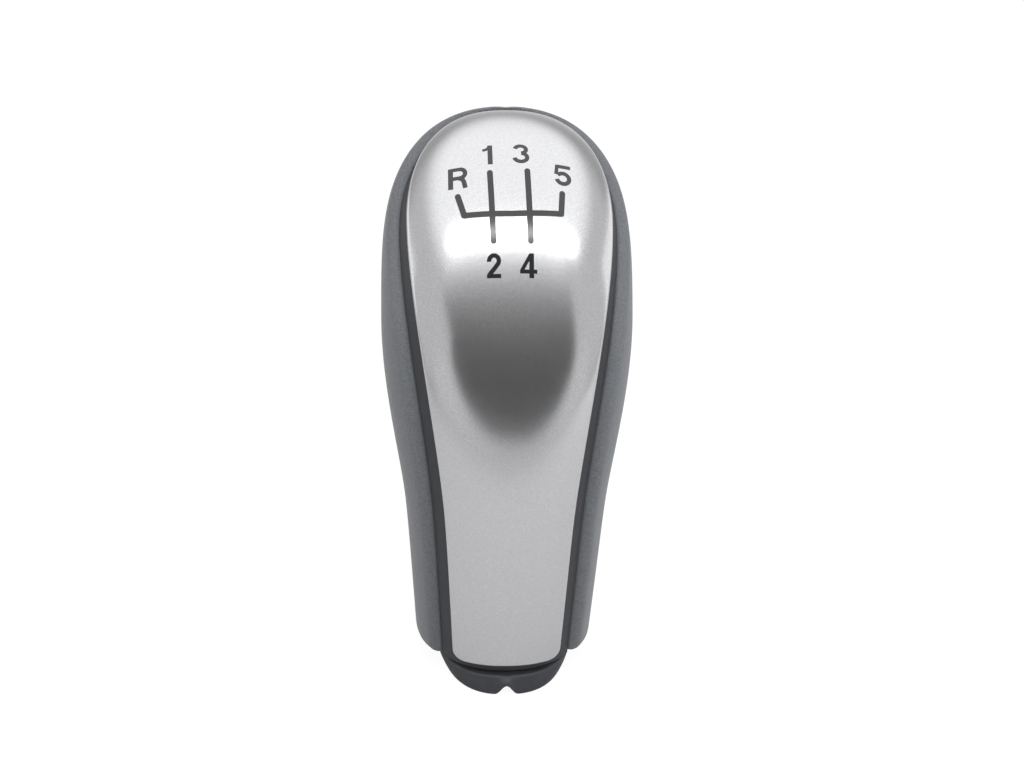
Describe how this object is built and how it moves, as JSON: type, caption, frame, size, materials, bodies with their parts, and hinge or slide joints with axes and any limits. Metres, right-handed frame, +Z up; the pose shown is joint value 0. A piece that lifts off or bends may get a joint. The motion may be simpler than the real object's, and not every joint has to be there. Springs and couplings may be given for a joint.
{
  "type": "gear shift knob",
  "caption": "Tall gear shift knob with a leaning head, a silver face plate, soft side grips, an oval collar and a blind bore for the lever.",
  "frame": {"origin": "centre of the lever bore's mouth, in the plane of the foot", "axes": "+Z up along the gear lever, -Y towards the face plate, +X to the right seen from the face plate"},
  "size_m": [0.0468, 0.0602, 0.0985],
  "materials": {
    "silver_lacquer": "silver lacquer, satin gloss",
    "dark_plastic": "fine satin moulding",
    "soft_grip": "soft-touch, fine grain",
    "core_plastic": "moulded",
    "bush_metal": "turned",
    "spring_steel": "drawn wire"
  },
  "bodies": {
    "root": {"face_plate": "silver_lacquer", "carrier": "dark_plastic", "grip_left": "soft_grip", "grip_right": "soft_grip", "collar": "dark_plastic", "core": "core_plastic", "lever_bush": "bush_metal", "retaining_ring": "spring_steel"}
  },
  "joints": []
}
